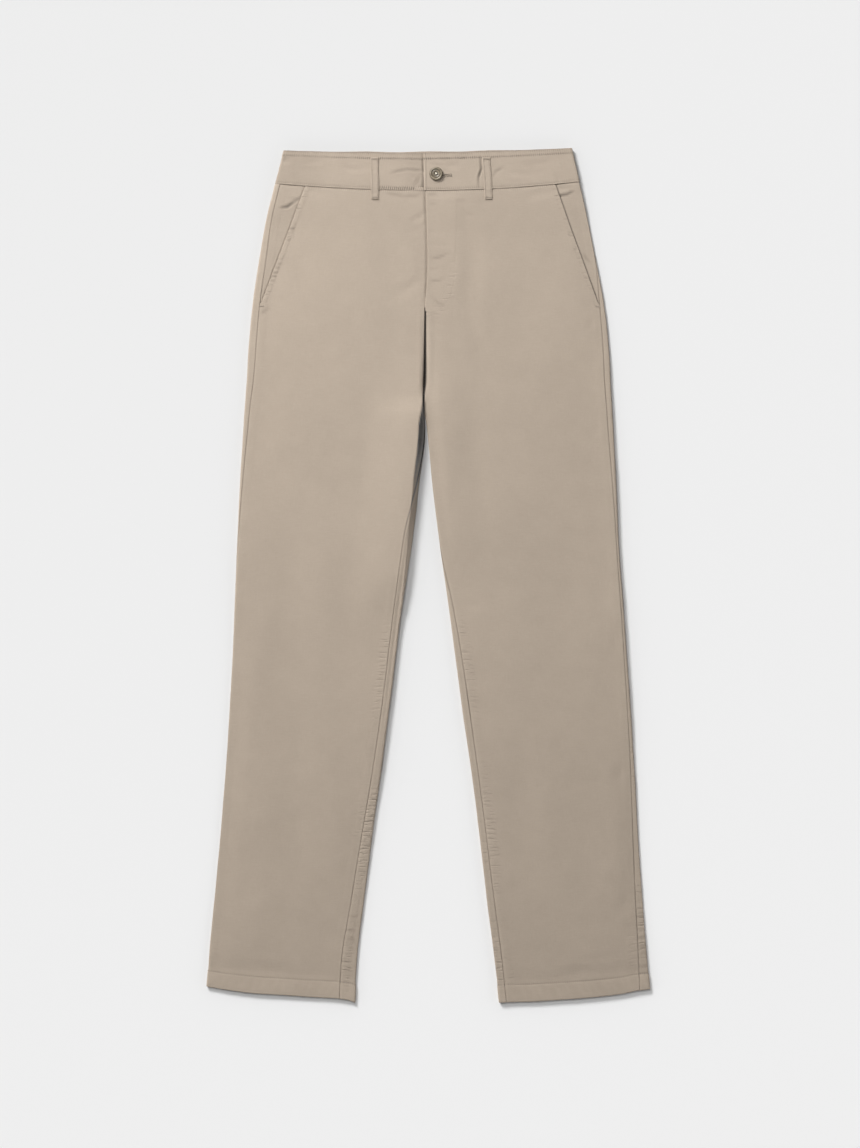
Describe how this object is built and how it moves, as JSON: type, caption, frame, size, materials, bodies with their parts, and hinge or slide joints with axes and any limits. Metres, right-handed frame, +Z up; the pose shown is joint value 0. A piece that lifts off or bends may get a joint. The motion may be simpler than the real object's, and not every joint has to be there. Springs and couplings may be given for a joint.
{
  "type": "chino trousers",
  "caption": "Straight-leg cotton chino trousers laid flat on their back, with waistband, belt loops, slanted pockets, fly and a waist button.",
  "frame": {"origin": "middle of the bounding box, on the surface that the trousers lie on", "axes": "+Z up out of the front of the trousers, +Y along the legs towards the waist, +X towards the wearer's left"},
  "size_m": [0.5504, 1.0614, 0.0136],
  "materials": {
    "twill": "stone-beige cotton twill, fine diagonal weave, soft and slightly brushed",
    "facing": "the same twill, in the pocket openings",
    "button": "brown horn-effect resin with a turned rim, sewn with pale thread"
  },
  "bodies": {
    "root": {"front_right": "twill", "front_left": "twill", "back_right": "twill", "back_left": "twill", "pocket_facing_right": "facing", "pocket_facing_left": "facing", "waistband_front_right": "twill", "waistband_front_left": "twill", "waistband_back": "twill", "belt_loop_front_right": "twill", "belt_loop_front_left": "twill", "belt_loop_back_right": "twill", "belt_loop_back_centre": "twill", "belt_loop_back_left": "twill", "waist_button": "button"}
  },
  "joints": []
}
